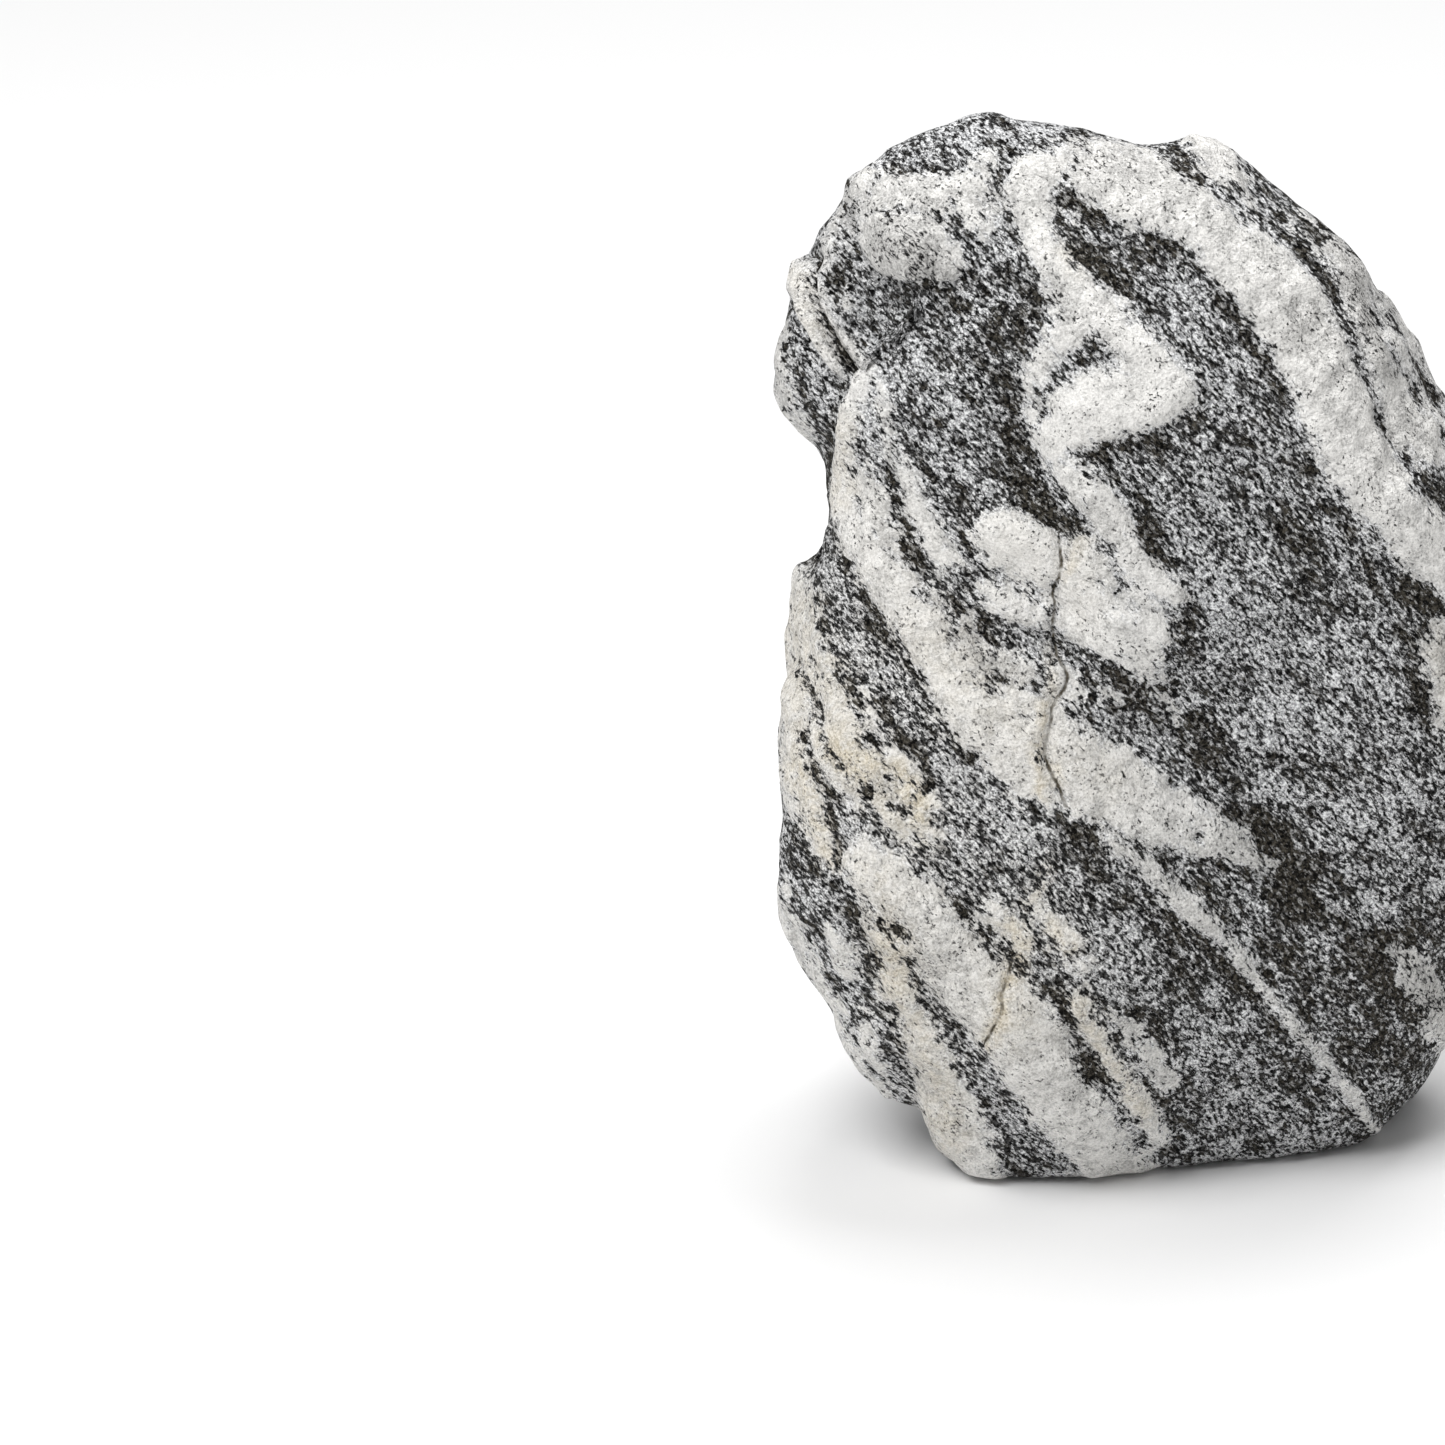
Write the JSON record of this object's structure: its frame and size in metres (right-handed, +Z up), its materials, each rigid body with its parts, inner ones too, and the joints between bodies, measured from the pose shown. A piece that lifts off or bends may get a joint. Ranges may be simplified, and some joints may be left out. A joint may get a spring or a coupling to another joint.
{
  "type": "banded gneiss aquascape stone",
  "caption": "Upright water-worn stone of folded black-and-white banded gneiss, with a broad face, a worn lobe and knob, and a small flat foot.",
  "frame": {"origin": "middle of the flat foot, on the surface that the stone stands on", "axes": "+Z up, the broad face towards -Y, +X to the right as the face is seen"},
  "size_m": [0.1897, 0.1293, 0.2725],
  "materials": {
    "gneiss": "dry water-worn gneiss, matt: white quartz and feldspar bands folded through dark speckled mica bands"
  },
  "bodies": {
    "root": {"stone": "gneiss"}
  },
  "joints": []
}
